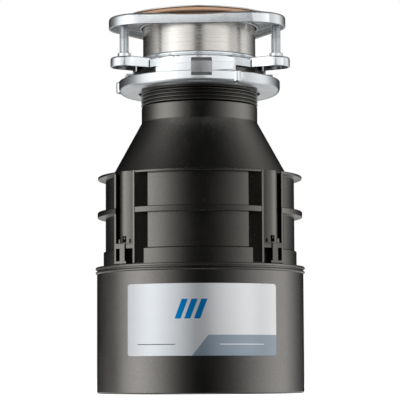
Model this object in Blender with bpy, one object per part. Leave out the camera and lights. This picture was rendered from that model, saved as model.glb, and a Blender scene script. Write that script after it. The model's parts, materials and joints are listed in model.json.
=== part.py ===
"""Kitchen garbage disposal, an assembly of separate pieces.

Frame: +Z up, the front is -Y, the origin is the centre of the foot ring that the disposal
stands on.  All sizes below are millimetres; MM turns them into Blender's metres.
Angles are degrees about +Z, 0 along +X, so the front is 270.
"""
import math

import bmesh
import bpy
from mathutils import Matrix, Vector

MM = 0.001
GAP = 0.3                 # clearance between pieces that touch
SEGMENTS = 40             # facets of a large turned piece that shows
INNER_SEGMENTS = 24       # facets of a large turned piece inside
SMALL_SEGMENTS = 16       # facets of a small turned piece
FRONT = 270.0

# Driving dimensions
CAN_RADIUS = 80.0
CAN_HEIGHT = 93.9
RIM_RADIUS = 81.1         # the two beads of the seam between motor and container
SEAM_Z = 94.2
END_BELL_TOP_Z = 97.0

CONTAINER_BASE_RADIUS = 74.9
CONTAINER_RADIUS = 73.3
CONTAINER_BORE_RADIUS = 70.3
RIB_RADIUS = 79.5
STEP_Z = 109.0            # the base band ends here
MID_RIB_Z = (135.3, 139.8)
TOP_RIB_Z = (164.3, 167.2)
CONE_BASE_RADIUS = 68.5
NECK_RADIUS = 45.2
NECK_BORE_RADIUS = 42.4
NECK_Z = (209.6, 222.0)

BOLT_X, BOLT_Y = 57.6, 47.4   # through bolts stand at the four sign combinations
BOLT_RADIUS = 2.3
BAY_X = (48.95, 62.25)        # between the two plates of a bolt column
COLUMN_CENTRE = (44.0, 48.3)
COLUMN_RADIUS = 14.0
COLUMN_FLAT_Y = 62.5
COLUMN_PLATE = 1.2
COLUMN_Z = (97.6, 166.9)
SHELF_Z = (109.0, 112.6)      # the bolt head bears on this shelf

SHAFT_RADIUS = 6.3
ROTOR_RADIUS = 31.5
TURNTABLE_Z = 145.0
LUG_PIVOT_X = 38.0

OUTLET_Z = 124.0
OUTLET_RADIUS = 18.5
OUTLET_FACE_Y = 79.0
OUTLET_SCREW_X = 29.0
INLET_Z = 190.0
INLET_RADIUS = 9.5
INLET_BORE_RADIUS = 6.8
INLET_END_Y = 76.0

LOWER_RING_RADIUS = 63.0
LOWER_RING_Z = (232.4, 242.5)
TAB_ANGLES = (272.7, 392.7, 512.7)
TAB_HALF_ANGLE = 7.1
LUG_ANGLES = (178.5, 298.5, 58.5)

UPPER_RING_RADIUS = 52.0
UPPER_RING_TOP_Z = 256.5
UPPER_SKIRT_Z = 248.8
EAR_ANGLES = (92.5, 212.5, 332.5)
SCREW_CIRCLE_RADIUS = 67.2
EAR_RADIUS = 10.6
SCREW_RADIUS = 3.75
RAMP_RADIUS = 57.5
RAMP_TOP_Z = 250.1
RAMP_SPAN = (-33.8, 27.7)     # degrees from the front, for the first of the three
RAMP_LOCKED = 8.4             # from here on the ramp's top is level
RAMP_SLOPE = 0.06             # millimetres of climb per degree

SLEEVE_RADIUS = 44.0
SLEEVE_BORE_RADIUS = 43.0
FLANGE_RIM_RADIUS = 57.6
OVERALL_HEIGHT = 292.7

BACKUP_LOBE_ANGLES = (87.2, 207.2, 327.2)
BACKUP_LOBE_CENTRE = 48.4
BACKUP_LOBE_RADIUS = 26.4
BACKUP_Z = (280.3, 288.0)
SHEET_THICKNESS = 1.6

LABEL_Z = (28.3, 81.5)
LABEL_ANGLES = (229.2, 315.5)

# colour, roughness, metallic
FINISHES = {
    "can_paint": ((0.060, 0.058, 0.055), 0.35, 0.6),
    "container_plastic": ((0.035, 0.034, 0.032), 0.4, 0.0),
    "bell_paint": ((0.045, 0.043, 0.040), 0.4, 0.4),
    "zinc": ((0.78, 0.80, 0.81), 0.25, 1.0),
    "stainless": ((0.70, 0.69, 0.67), 0.22, 1.0),
    "steel": ((0.48, 0.49, 0.50), 0.35, 1.0),
    "lamination": ((0.30, 0.30, 0.31), 0.5, 0.9),
    "copper_wire": ((0.55, 0.20, 0.08), 0.35, 0.8),
    "cast_aluminium": ((0.62, 0.62, 0.63), 0.45, 1.0),
    "bronze": ((0.50, 0.33, 0.14), 0.4, 1.0),
    "rubber": ((0.015, 0.015, 0.015), 0.6, 0.0),
    "fibre": ((0.45, 0.24, 0.12), 0.7, 0.0),
    "moulding": ((0.08, 0.08, 0.09), 0.5, 0.0),
    "red_plastic": ((0.55, 0.03, 0.02), 0.4, 0.0),
    "green_screw": ((0.05, 0.30, 0.08), 0.35, 0.6),
    "label_foil": ((0.62, 0.64, 0.66), 0.3, 0.9),
}


# ---------------------------------------------------------------- scene and materials

def clear_scene():
    for obj in list(bpy.data.objects):
        bpy.data.objects.remove(obj, do_unlink=True)


def make_material(name, finish):
    colour, roughness, metallic = FINISHES[finish]
    material = bpy.data.materials.new(name)
    material.use_nodes = True
    shader = material.node_tree.nodes["Principled BSDF"]
    shader.inputs["Base Color"].default_value = (*colour, 1.0)
    shader.inputs["Roughness"].default_value = roughness
    shader.inputs["Metallic"].default_value = metallic
    material.diffuse_color = (*colour, 1.0)
    return material


def make_empty(name, parent=None, location=(0, 0, 0)):
    empty = bpy.data.objects.new(name, None)
    bpy.context.scene.collection.objects.link(empty)
    empty.location = Vector(location) * MM
    empty.parent = parent
    return empty


def add_piece(name, bm, finish, parent, location=(0, 0, 0), turn=0.0):
    """Turn a bmesh, in millimetres about the piece's own origin, into a named object."""
    bmesh.ops.recalc_face_normals(bm, faces=bm.faces)
    bmesh.ops.scale(bm, vec=(MM, MM, MM), verts=bm.verts)
    mesh = bpy.data.meshes.new(name)
    bm.to_mesh(mesh)
    bm.free()
    mesh.shade_smooth()
    mesh.set_sharp_from_angle(angle=math.radians(32))
    mesh.materials.append(make_material(name, finish))
    obj = bpy.data.objects.new(name, mesh)
    bpy.context.scene.collection.objects.link(obj)
    obj.location = Vector(location) * MM
    obj.rotation_euler.z = math.radians(turn)
    obj.parent = parent
    return obj


def add_operand(target, bm, operation):
    """Cut bm out of target, or unite it with target, keeping the modifier live."""
    number = len(target.modifiers) + 1
    tool = add_piece(f"{target.name}_tool_{number}", bm, "moulding", target.parent)
    tool.location = target.location
    tool.rotation_euler = target.rotation_euler
    tool.hide_render = True
    tool.display_type = "WIRE"
    modifier = target.modifiers.new(f"{operation.lower()}_{number}", "BOOLEAN")
    modifier.operation = operation
    modifier.solver = "EXACT"
    modifier.object = tool
    return tool


def cut(target, bm):
    return add_operand(target, bm, "DIFFERENCE")


def unite(target, bm):
    return add_operand(target, bm, "UNION")


# ---------------------------------------------------------------- shapes

def turned(outline, segments=SEGMENTS):
    """Spin an (r, z) outline about Z.  An outline that starts and ends at r = 0 is solid."""
    bm = bmesh.new()
    verts = [bm.verts.new((r, 0.0, z)) for r, z in outline]
    edges = [bm.edges.new(pair) for pair in zip(verts, verts[1:])]
    if outline[0][0] > 0.0:
        edges.append(bm.edges.new((verts[-1], verts[0])))
    bmesh.ops.spin(bm, geom=verts + edges, cent=(0, 0, 0), axis=(0, 0, 1), dvec=(0, 0, 0),
                   angle=math.tau, steps=segments, use_merge=True, use_duplicate=False)
    bmesh.ops.remove_doubles(bm, verts=bm.verts, dist=1e-5)
    return bm


def tube(bore, radius, low_z, high_z, segments=INNER_SEGMENTS):
    return turned([(bore, low_z), (radius, low_z), (radius, high_z), (bore, high_z)], segments)


def prism(points, low_z, high_z):
    """Extrude a flat (x, y) outline from low_z to high_z."""
    bm = bmesh.new()
    face = bm.faces.new([bm.verts.new((x, y, low_z)) for x, y in points])
    grown = bmesh.ops.extrude_face_region(bm, geom=[face])
    verts = [item for item in grown["geom"] if isinstance(item, bmesh.types.BMVert)]
    bmesh.ops.translate(bm, vec=(0, 0, high_z - low_z), verts=verts)
    return bm


def cylinder(radius, low_z, high_z, x=0.0, y=0.0, segments=SMALL_SEGMENTS):
    """A solid cylinder, turned by 7 degrees so that its edges miss the ring's radial planes."""
    bm = bmesh.new()
    turn = Matrix.Rotation(math.radians(7.0), 4, "Z")
    bmesh.ops.create_cone(bm, cap_ends=True, segments=segments, radius1=radius, radius2=radius,
                          depth=high_z - low_z, matrix=turn)
    bmesh.ops.translate(bm, vec=(x, y, (low_z + high_z) / 2), verts=bm.verts)
    return bm


def laid_along_y(bm, x, z):
    """Lay a shape built along Z down along Y, with its axis at x and z."""
    turn = Matrix.Rotation(math.radians(-90), 3, "X")
    bmesh.ops.rotate(bm, cent=(0, 0, 0), matrix=turn, verts=bm.verts)
    bmesh.ops.translate(bm, vec=(x, 0, z), verts=bm.verts)
    return bm


def cylinder_along_y(radius, low_y, high_y, x, z, segments=24):
    return laid_along_y(cylinder(radius, low_y, high_y, segments=segments), x, z)


def block(low, high, turn=0.0):
    """A box from corner low to corner high, turned about Z by turn degrees."""
    points = [(low[0], low[1]), (high[0], low[1]), (high[0], high[1]), (low[0], high[1])]
    bm = prism(points, low[2], high[2])
    spin = Matrix.Rotation(math.radians(turn), 3, "Z")
    bmesh.ops.rotate(bm, cent=(0, 0, 0), matrix=spin, verts=bm.verts)
    return bm


def swept(section, angles, closed=True):
    """Join the (r, z) outlines that section(angle) gives at each angle into one body.

    A closed sweep goes all the way round; an open one gets a flat cap at each end.
    """
    bm = bmesh.new()
    loops = []
    for angle in angles:
        cos, sin = math.cos(math.radians(angle)), math.sin(math.radians(angle))
        loops.append([bm.verts.new((r * cos, r * sin, z)) for r, z in section(angle)])
    pairs = list(zip(loops, loops[1:]))
    if closed:
        pairs.append((loops[-1], loops[0]))
    for here, there in pairs:
        for i in range(len(here)):
            j = (i + 1) % len(here)
            bm.faces.new((here[i], here[j], there[j], there[i]))
    if not closed:
        bm.faces.new(loops[0])
        bm.faces.new(list(reversed(loops[-1])))
    return bm


def arc(radius, start, end, steps, centre=(0.0, 0.0)):
    """Points of an arc in a flat outline, from start to end degrees."""
    points = []
    for i in range(steps + 1):
        angle = math.radians(start + (end - start) * i / steps)
        points.append((centre[0] + radius * math.cos(angle), centre[1] + radius * math.sin(angle)))
    return points


def spread(start, end, steps):
    return [start + (end - start) * i / steps for i in range(steps + 1)]


def polar(radius, angle):
    return radius * math.cos(math.radians(angle)), radius * math.sin(math.radians(angle))


def bolt_places():
    return [(-BOLT_X, -BOLT_Y), (BOLT_X, -BOLT_Y), (BOLT_X, BOLT_Y), (-BOLT_X, BOLT_Y)]


# ---------------------------------------------------------------- motor section

CONDUIT_HOLE = (40.0, -24.0, 11.1)          # x, y, radius
TERMINAL_COVER = (34.0, 26.0, 40.0, 26.0)   # centre x, y, width, depth
GROUND_SCREW_PLACE = (14.0, -36.0)
RESET_PLACE = (-45.0, 22.0)
CAN_FLOOR_Z = (4.0, 5.5)


def make_motor_can(parent):
    """Drawn steel cup with a raised floor, a foot ring and a rolled bead at its mouth."""
    floor_low, floor_high = CAN_FLOOR_Z
    wall = 1.1
    outline = [(12.0, floor_low), (70.5, floor_low), (72.5, 0.0), (78.2, 0.0), (79.5, 0.5),
               (CAN_RADIUS, 1.8), (CAN_RADIUS, 91.7), (RIM_RADIUS, 92.3), (RIM_RADIUS, CAN_HEIGHT),
               (CAN_RADIUS - wall, CAN_HEIGHT), (CAN_RADIUS - wall, floor_high), (12.0, floor_high)]
    can = add_piece("motor_can", turned(outline), "can_paint", parent)
    x, y, radius = CONDUIT_HOLE
    cut(can, cylinder(radius, 0.0, 8.0, x, y, 20))
    cut(can, cylinder(4.3, 0.0, 8.0, *RESET_PLACE))
    cut(can, cylinder(2.3, 0.0, 8.0, *GROUND_SCREW_PLACE, 14))
    x, y, width, depth = TERMINAL_COVER
    lip = 3.0                               # the cover laps the window's edge by this
    cut(can, block((x - width / 2 + lip, y - depth / 2 + lip, 0.0),
                   (x + width / 2 - 3 * lip, y + depth / 2 - lip, 8.0)))
    cut(can, cylinder(1.9, 0.0, 8.0, x + width / 2 - 4, y, 12))


def make_bottom_hardware(parent):
    x, y, width, depth = TERMINAL_COVER
    cover = block((x - width / 2, y - depth / 2, 2.4), (x + width / 2, y + depth / 2, 3.7))
    plate = add_piece("terminal_cover", cover, "zinc", parent)
    screw_x = x + width / 2 - 4
    cut(plate, cylinder(1.9, 1.0, 5.0, screw_x, y, 12))
    cover_screw = [(0.0, 0.9), (3.2, 0.9), (3.6, 1.4), (3.6, 2.1), (1.5, 2.1), (1.5, 8.0),
                   (0.0, 8.0)]
    add_piece("terminal_cover_screw", turned(cover_screw, 12), "zinc", parent, (screw_x, y, 0))
    earth_screw = [(0.0, 2.0), (3.4, 2.0), (3.9, 2.6), (3.9, 3.7), (1.9, 3.7), (1.9, 8.2),
                   (0.0, 8.2)]
    add_piece("ground_screw", turned(earth_screw, 12), "green_screw", parent,
              (*GROUND_SCREW_PLACE, 0))


def make_lower_end_bell(parent):
    """Carries the lower bearing and takes the threads of the through bolts."""
    outline = [(9.0, 8.5), (68.0, 8.5), (70.2, 5.8), (78.5, 5.8), (78.5, 17.0), (70.2, 17.0),
               (68.0, 11.5), (15.0, 11.5), (15.0, 22.5), (10.4, 22.5), (10.4, 10.5), (9.0, 10.5)]
    bell = add_piece("lower_end_bell", turned(outline, INNER_SEGMENTS), "cast_aluminium", parent)
    for x, y in bolt_places():
        cut(bell, cylinder(2.6, 4.0, 19.0, x, y, 12))
    cut(bell, cylinder(4.6, 7.0, 13.0, *RESET_PLACE))
    add_piece("lower_bearing", tube(6.65, 10.1, 10.8, 22.2), "bronze", parent)
    add_piece("thrust_washer", tube(6.65, 12.0, 22.8, 24.0), "steel", parent)


def make_stator(parent):
    slot_pitch = 20.0
    angles = []
    for slot in range(18):
        angles += [slot * slot_pitch + offset for offset in (0.0, 11.0, 11.4, 19.6)]

    def section(angle):
        bore = 33.2 if angle % slot_pitch < 11.2 else 42.0
        return [(bore, 36.3), (66.0, 36.3), (66.0, 68.0), (bore, 68.0)]

    add_piece("stator_core", swept(section, angles), "lamination", parent)
    lower = [(36.5, 28.0), (39.5, 25.5), (49.5, 25.5), (52.5, 28.0), (52.5, 36.0), (36.5, 36.0)]
    add_piece("stator_winding_lower", turned(lower, INNER_SEGMENTS), "copper_wire", parent)
    upper = [(36.5, 68.3), (52.5, 68.3), (52.5, 77.0), (49.5, 80.0), (39.5, 80.0), (36.5, 77.0)]
    add_piece("stator_winding_upper", turned(upper, INNER_SEGMENTS), "copper_wire", parent)


def make_switch_and_protector(parent):
    switch = add_piece("start_switch", block((19.0, -6.0, 11.8), (34.0, 6.0, 21.5)), "moulding", parent)
    unite(switch, block((20.0, -2.5, 21.0), (23.0, 2.5, 26.1)))
    unite(switch, block((12.6, -2.0, 24.6), (21.5, 2.0, 26.0)))
    protector = [(0.0, 15.3), (8.0, 15.3), (9.0, 16.3), (9.0, 24.0), (0.0, 24.0)]
    add_piece("overload_protector", turned(protector, 24), "moulding", parent, (*RESET_PLACE, 0))
    button = [(0.0, 2.4), (3.0, 2.4), (3.6, 3.0), (3.6, 11.8), (5.2, 11.8), (5.2, 12.7),
              (0.0, 12.7)]
    slide = make_empty("reset_slide", parent, (*RESET_PLACE, 0))
    add_piece("reset_button", turned(button, 20), "red_plastic", slide)


def make_through_bolts(parent):
    outline = [(0.0, 7.0), (BOLT_RADIUS, 7.0), (BOLT_RADIUS, 113.0), (3.2, 113.0), (3.2, 116.0),
               (2.6, 116.5), (0.0, 116.5)]
    for number, (x, y) in enumerate(bolt_places(), 1):
        add_piece(f"through_bolt_{number}", turned(outline, 12), "steel", parent, (x, y, 0))


def make_upper_end_bell(parent):
    """Floor of the drain chamber, with the hub of the upper bearing and the shaft seal."""
    outline = [(10.4, 82.0), (17.0, 82.0), (17.0, 93.0), (68.0, 93.0), (70.2, 86.0), (78.5, 86.0),
               (78.5, SEAM_Z), (RIM_RADIUS, SEAM_Z), (RIM_RADIUS, 96.4), (80.5, END_BELL_TOP_Z),
               (24.0, END_BELL_TOP_Z), (17.5, 99.0), (17.5, 112.0), (14.0, 112.0), (14.0, 104.5),
               (10.4, 104.5)]
    bell = add_piece("upper_end_bell", turned(outline), "bell_paint", parent)
    for x, y in bolt_places():
        cut(bell, cylinder(2.8, 84.0, 99.0, x, y, 12))
    add_piece("upper_bearing", tube(6.65, 10.1, 82.3, 104.2), "bronze", parent)
    add_piece("shaft_seal", tube(6.7, 13.7, 104.8, 111.5), "rubber", parent)


# ---------------------------------------------------------------- rotor

def make_rotor(parent):
    outline = [(0.0, 7.0), (SHAFT_RADIUS, 7.0), (SHAFT_RADIUS, 144.6), (5.0, 144.6),
               (5.0, 153.5), (0.0, 153.5)]
    shaft = add_piece("shaft", turned(outline, 24), "steel", parent)
    cut(shaft, cylinder(3.7, 5.0, 15.0, segments=6))

    core = [(6.65, 34.5), (ROTOR_RADIUS - 2.0, 34.5), (ROTOR_RADIUS, 36.3), (ROTOR_RADIUS, 68.0),
            (ROTOR_RADIUS - 2.0, 70.0), (6.65, 70.0)]
    add_piece("rotor_core", turned(core, INNER_SEGMENTS), "lamination", parent)

    def fan_section(angle):
        reach = 30.0 if angle % 45.0 < 12.0 else 23.0
        return [(10.0, 70.3), (reach, 70.3), (reach, 77.0), (10.0, 77.0)]

    angles = []
    for blade in range(8):
        angles += [blade * 45.0 + offset for offset in (0.0, 11.0, 13.0, 43.0)]
    add_piece("rotor_fan", swept(fan_section, angles), "cast_aluminium", parent)


def make_switch_actuator(parent):
    """Centrifugal collar that rides up the shaft as the motor reaches speed."""
    outline = [(6.7, 24.7), (9.5, 24.7), (9.5, 26.6), (14.0, 26.6), (14.0, 30.5), (6.7, 30.5)]
    slide = make_empty("switch_actuator_slide", parent)
    add_piece("switch_actuator", turned(outline, 24), "moulding", slide)


def make_turntable(parent):
    top = TURNTABLE_Z + 3.0
    outline = [(5.3, TURNTABLE_Z), (61.0, TURNTABLE_Z), (62.2, 146.0), (62.2, 150.5), (60.6, 150.5),
               (60.6, top), (5.3, top)]
    table = add_piece("turntable", turned(outline, 40), "stainless", parent)
    for x in (-LUG_PIVOT_X, LUG_PIVOT_X):
        cut(table, cylinder(3.35, 140.0, 150.0, x, 0.0, 16))
    nut = add_piece("turntable_nut", cylinder(9.2, top + GAP, 155.5, segments=6), "stainless", parent)
    cut(nut, cylinder(5.3, 147.0, 153.9))

    rivet = [(0.0, 142.8), (5.0, 142.8), (5.0, 144.7), (3.0, 144.7), (3.0, 160.3), (5.0, 160.3),
             (5.0, 161.4), (4.0, 162.2), (0.0, 162.2)]
    lug = [(-7.0, -5.0), (-4.0, -7.5), (12.0, -7.5), (20.0, -3.0), (20.0, 4.0), (14.0, 7.5),
           (-4.0, 7.5), (-7.0, 5.0)]
    for name, x, turn in (("a", LUG_PIVOT_X, 70.0), ("b", -LUG_PIVOT_X, 250.0)):
        add_piece(f"lug_rivet_{name}", turned(rivet, 12), "steel", parent, (x, 0, 0))
        pivot = make_empty(f"swivel_lug_{name}_pivot", parent, (x, 0, 0))
        piece = add_piece(f"swivel_lug_{name}", prism(lug, top + GAP, 160.0), "stainless", pivot,
                          turn=turn)
        cut(piece, cylinder(3.35, 140.0, 165.0, segments=16))


# ---------------------------------------------------------------- container

def column_outlines():
    """Flat outlines, in the +X +Y quarter, of the solids that make up one bolt column."""
    low_x, high_x = BAY_X
    skin = CONTAINER_RADIUS - 1.4
    flat_y, plate = COLUMN_FLAT_Y, COLUMN_PLATE
    inner_block = [(37.1, flat_y), (low_x - plate, flat_y), (low_x - plate, flat_y + 1.0),
                   (low_x, flat_y + 1.0), (low_x, 51.9)]
    inner_block += arc(skin, 49.3, 59.4, 3)
    outer_plate = [(high_x, 34.7), (high_x, 47.0), (high_x + plate, 47.0), (high_x + plate, 33.0)]
    half_round = arc(COLUMN_RADIUS, 71.0, 10.0, 8, COLUMN_CENTRE)
    half_round += [(57.8, 42.0), (50.6, 50.3), (48.6, 52.4)]
    shelf = [(low_x - 0.6, 51.9), (low_x - 0.6, 56.8), (high_x + 0.5, 48.6), (high_x + 0.5, 33.9)]
    bay = [(low_x - 0.3, 75.0), (high_x + 0.3, 75.0)]
    bay += arc(71.6, 29.12, 47.2, 4)
    return inner_block, outer_plate, half_round, shelf, bay


def in_quarter(points, x_sign, y_sign):
    return [(x_sign * x, y_sign * y) for x, y in points]


def add_bolt_columns(container):
    inner_block, outer_plate, half_round, shelf, bay = column_outlines()
    base_z, top_z = COLUMN_Z
    window = [(52.4, 50.1), (56.4, 50.1), (56.4, 62.0), (52.4, 62.0)]
    for x_sign, y_sign in ((-1, -1), (1, -1), (1, 1), (-1, 1)):
        x, y = x_sign * BOLT_X, y_sign * BOLT_Y
        cut(container, prism(in_quarter(bay, x_sign, y_sign), 96.0, 168.5))
        unite(container, prism(in_quarter(inner_block, x_sign, y_sign), base_z, top_z))
        unite(container, prism(in_quarter(outer_plate, x_sign, y_sign), base_z, top_z))
        unite(container, prism(in_quarter(half_round, x_sign, y_sign),
                               SHELF_Z[1] - 0.1, top_z - 0.2))
        unite(container, prism(in_quarter(shelf, x_sign, y_sign), *SHELF_Z))
        cut(container, cylinder(3.6, SHELF_Z[1], 118.0, x, y, 12))
        cut(container, cylinder(2.65, 95.0, 116.0, x, y, 12))
        cut(container, prism(in_quarter(window, x_sign, y_sign), SHELF_Z[1], 117.5))


def add_outlet(container):
    """Discharge port at the back, with a two-screw face for the tailpipe elbow."""
    boss = unite(container, cylinder_along_y(23.0, 60.0, OUTLET_FACE_Y, 0.0, OUTLET_Z))
    hollow = cylinder(CONTAINER_BORE_RADIUS + 1.0, OUTLET_Z - 30.0, OUTLET_Z + 30.0, segments=60)
    cut(boss, hollow)
    reach = OUTLET_SCREW_X + 6.0
    bar = [(reach, OUTLET_FACE_Y - 0.2), (-reach, OUTLET_FACE_Y - 0.2)]
    bar += arc(CONTAINER_RADIUS - 0.9, 118.9, 61.1, 10)
    unite(container, prism(bar, OUTLET_Z - 8.0, OUTLET_Z + 8.0))
    cut(container, cylinder_along_y(OUTLET_RADIUS, 50.0, 85.0, 0.0, OUTLET_Z))
    for x in (-OUTLET_SCREW_X, OUTLET_SCREW_X):
        cut(container, cylinder_along_y(2.0, 69.0, 85.0, x, OUTLET_Z, 12))


def add_dishwasher_inlet(container):
    """Hose spigot high on the back of the cone, with a bead for the hose clamp."""
    bead = INLET_RADIUS + 1.0
    spigot = [(INLET_BORE_RADIUS, 54.0), (INLET_RADIUS, 54.0), (INLET_RADIUS, 72.0),
              (bead, 72.7), (bead, 74.0), (INLET_RADIUS, 74.7), (INLET_RADIUS, INLET_END_Y),
              (INLET_BORE_RADIUS, INLET_END_Y)]
    unite(container, laid_along_y(turned(spigot, 16), 0.0, INLET_Z))
    cut(container, cylinder_along_y(INLET_BORE_RADIUS - 0.2, 40.0, 64.0, 0.0, INLET_Z, 16))


def make_container(parent):
    base_z = END_BELL_TOP_Z + GAP
    outline = [(CONTAINER_BORE_RADIUS, base_z), (CONTAINER_BASE_RADIUS, base_z),
               (CONTAINER_BASE_RADIUS, STEP_Z - 0.4), (CONTAINER_RADIUS, STEP_Z + 0.4)]
    for low, high in (MID_RIB_Z, TOP_RIB_Z):
        outline += [(CONTAINER_RADIUS, low), (RIB_RADIUS, low), (RIB_RADIUS, high),
                    (CONTAINER_RADIUS, high)]
    outline[-1] = (CONE_BASE_RADIUS, TOP_RIB_Z[1])
    outline += [(NECK_RADIUS, NECK_Z[0]), (NECK_RADIUS, NECK_Z[1] - 0.7),
                (NECK_RADIUS - 0.7, NECK_Z[1]), (NECK_BORE_RADIUS, NECK_Z[1]),
                (NECK_BORE_RADIUS, NECK_Z[0] - 0.8), (66.0, 165.6), (CONTAINER_BORE_RADIUS, 163.0)]
    container = add_piece("container_body", turned(outline), "container_plastic", parent)
    add_outlet(container)
    add_dishwasher_inlet(container)
    add_bolt_columns(container)

    plug = cylinder_along_y(INLET_BORE_RADIUS - 0.5, 64.0, 66.0, 0.0, INLET_Z, 16)
    add_piece("dishwasher_inlet_plug", plug, "container_plastic", parent)
    add_piece("body_gasket", tube(67.4, 69.9, base_z, 99.5), "rubber", parent)
    ring = [(63.6, 139.0), (69.9, 139.0), (69.9, 141.0), (66.0, 141.0), (66.0, 163.6),
            (63.6, 163.6)]
    shredder = add_piece("shredder_ring", turned(ring, 40), "stainless", parent)
    for number in range(4):
        cut(shredder, block((-75.0, -4.0, 146.0), (75.0, 4.0, 153.0), number * 45.0 + 3.0))


# ---------------------------------------------------------------- label

def make_label(parent):
    def section(angle):
        return [(CAN_RADIUS + 0.3, LABEL_Z[0]), (CAN_RADIUS + 0.75, LABEL_Z[0]),
                (CAN_RADIUS + 0.75, LABEL_Z[1]), (CAN_RADIUS + 0.3, LABEL_Z[1])]

    plate = swept(section, spread(*LABEL_ANGLES, 24), closed=False)
    add_piece("label_plate", plate, "label_foil", parent)


# ---------------------------------------------------------------- sink mount

def make_cushion(parent):
    """Rubber cushion between the container's neck and the sink flange, with four ridges."""
    pitch = 2.7
    foot = NECK_Z[1] + GAP
    plug = NECK_BORE_RADIUS - GAP
    ridges = []
    for number in range(4):
        z = foot + number * pitch
        ridges += [(43.2, z), (45.4, z + pitch * 0.5)]
    outline = [(39.4, 213.0), (plug, 213.0), (plug, foot)]
    outline += ridges
    outline += [(44.0, 233.4), (44.4, 234.4), (57.8, 234.4), (57.8, 240.6), (56.8, 241.4),
                (49.6, 241.4), (49.6, 249.4), (49.1, 249.9), (44.5, 249.9), (44.5, 246.4),
                (41.4, 246.4), (39.4, 244.6)]
    add_piece("cushion_mount", turned(outline), "rubber", parent)

    baffle = [(39.0, 243.0), (39.0, 237.6), (14.0, 231.5), (14.0, 233.3), (37.4, 239.2), (37.4, 243.0)]
    guard = add_piece("splash_baffle", turned(baffle, INNER_SEGMENTS), "rubber", parent)
    for number in range(4):
        cut(guard, block((-35.0, -0.6, 225.0), (35.0, 0.6, 250.0), number * 45.0 + 22.5))


def make_lower_ring(parent):
    """Locking ring: a rolled band with three hooked tabs and three wrench lugs."""
    low, high = LOWER_RING_Z
    radius = LOWER_RING_RADIUS
    band = [(47.2, low), (58.6, low), (61.2, 233.8), (62.6, 236.0), (radius, 238.4),
            (radius, high - 0.5), (62.5, high), (61.2, high), (61.2, 238.6), (60.9, 236.9),
            (59.9, 235.2), (58.1, 234.0), (47.2, 234.0)]
    ring = add_piece("lower_mounting_ring", turned(band), "zinc", parent)

    def tab_section(angle):
        return [(61.8, 239.0), (63.8, 238.2), (64.8, 239.3), (64.8, 250.6), (63.4, 252.1),
                (54.0, 252.1), (54.0, 250.5), (62.9, 250.5), (62.9, 242.0), (61.8, 241.6)]

    for angle in TAB_ANGLES:
        across = spread(angle - TAB_HALF_ANGLE, angle + TAB_HALF_ANGLE, 6)
        unite(ring, swept(tab_section, across, closed=False))
    for angle in LUG_ANGLES:
        unite(ring, cylinder(3.0, 234.0, 243.1, *polar(62.2, angle), 20))
        cut(ring, cylinder(1.6, 230.0, 250.0, *polar(62.3, angle), 12))


def ear_reach(offset):
    """Outer radius of the upper ring, offset degrees from an ear's centre line."""
    offset = abs(offset)
    side = math.degrees(math.asin(EAR_RADIUS / UPPER_RING_RADIUS))
    if offset >= side:
        return UPPER_RING_RADIUS
    if offset >= math.degrees(math.atan(EAR_RADIUS / SCREW_CIRCLE_RADIUS)):
        return EAR_RADIUS / math.sin(math.radians(offset))
    across = SCREW_CIRCLE_RADIUS * math.sin(math.radians(offset))
    along = SCREW_CIRCLE_RADIUS * math.cos(math.radians(offset))
    return along + math.sqrt(EAR_RADIUS ** 2 - across ** 2)


def skirt_foot(angle):
    """Lower edge of the upper ring's skirt, which reaches down in three ramps."""
    place = (angle - FRONT + 36.5) % 120.0        # 0 where a ramp begins
    if place < 50.0:
        return 242.0 + 1.2 * place / 50.0
    if place < 70.0:
        return 243.2 + 1.3 * (place - 50.0) / 20.0
    return UPPER_SKIRT_Z


def ramp_section(angle):
    """A ramp's folded sheet: a sloping ledge and a wall down to the ring's lower edge."""
    place = (angle - FRONT + 40.0) % 120.0 - 40.0
    top = RAMP_TOP_Z - RAMP_SLOPE * max(0.0, RAMP_LOCKED - place)
    under = top - SHEET_THICKNESS
    foot = 242.5 + 0.01 * (place - RAMP_SPAN[0]) + 0.09 * max(0.0, place - 12.0)
    wall = RAMP_RADIUS - SHEET_THICKNESS
    return [(51.0, under), (wall, under), (wall, foot), (RAMP_RADIUS, foot),
            (RAMP_RADIUS, top - 0.5), (RAMP_RADIUS - 0.5, top), (51.0, top)]


def make_upper_ring(parent):
    """Three-eared ring that the mounting screws thread through."""
    offsets = [-11.75, -8.96, -8.0, -6.6, -4.7, -2.0, 2.0, 4.7, 6.6, 8.0, 8.96, 11.75]
    between = [20.9, 21.1, 31.0, 41.0, 51.0, 61.0, 70.9, 71.1, 81.0, 90.9, 91.1, 99.5]
    angles = []
    for ear in EAR_ANGLES:
        angles += [ear + offset for offset in offsets]
        angles += [ear + offset for offset in between]

    def section(angle):
        nearest = min(abs((angle - ear + 180.0) % 360.0 - 180.0) for ear in EAR_ANGLES)
        reach = ear_reach(nearest)
        foot = skirt_foot(angle)
        top = UPPER_RING_TOP_Z
        wall = reach - SHEET_THICKNESS
        return [(44.8, 260.3), (46.2, 260.3), (47.0, top), (reach - 2.4, top),
                (reach - 0.7, top - 0.7), (reach, top - 2.4), (reach, foot), (wall, foot),
                (wall, top - 2.8), (wall - 0.6, top - 2.2), (44.8, top - 2.2)]

    ring = add_piece("upper_mounting_ring", swept(section, angles), "zinc", parent)

    for turn in (0.0, 120.0, 240.0):
        start, end = RAMP_SPAN
        ramp = spread(FRONT + start + turn, FRONT + end + turn, 12)
        unite(ring, swept(ramp_section, ramp, closed=False))
    bore = SCREW_RADIUS + 0.35
    outline = [(bore, 256.8), (5.1, 256.8), (5.1, 259.2), (4.7, 259.8), (bore, 259.8)]
    for number, angle in enumerate(EAR_ANGLES, 1):
        place = polar(SCREW_CIRCLE_RADIUS, angle)
        cut(ring, cylinder(SCREW_RADIUS + 0.4, 250.0, 264.0, *place, 16))
        add_piece(f"screw_collar_{number}", turned(outline, 14), "zinc", parent, (*place, 0))


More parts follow.
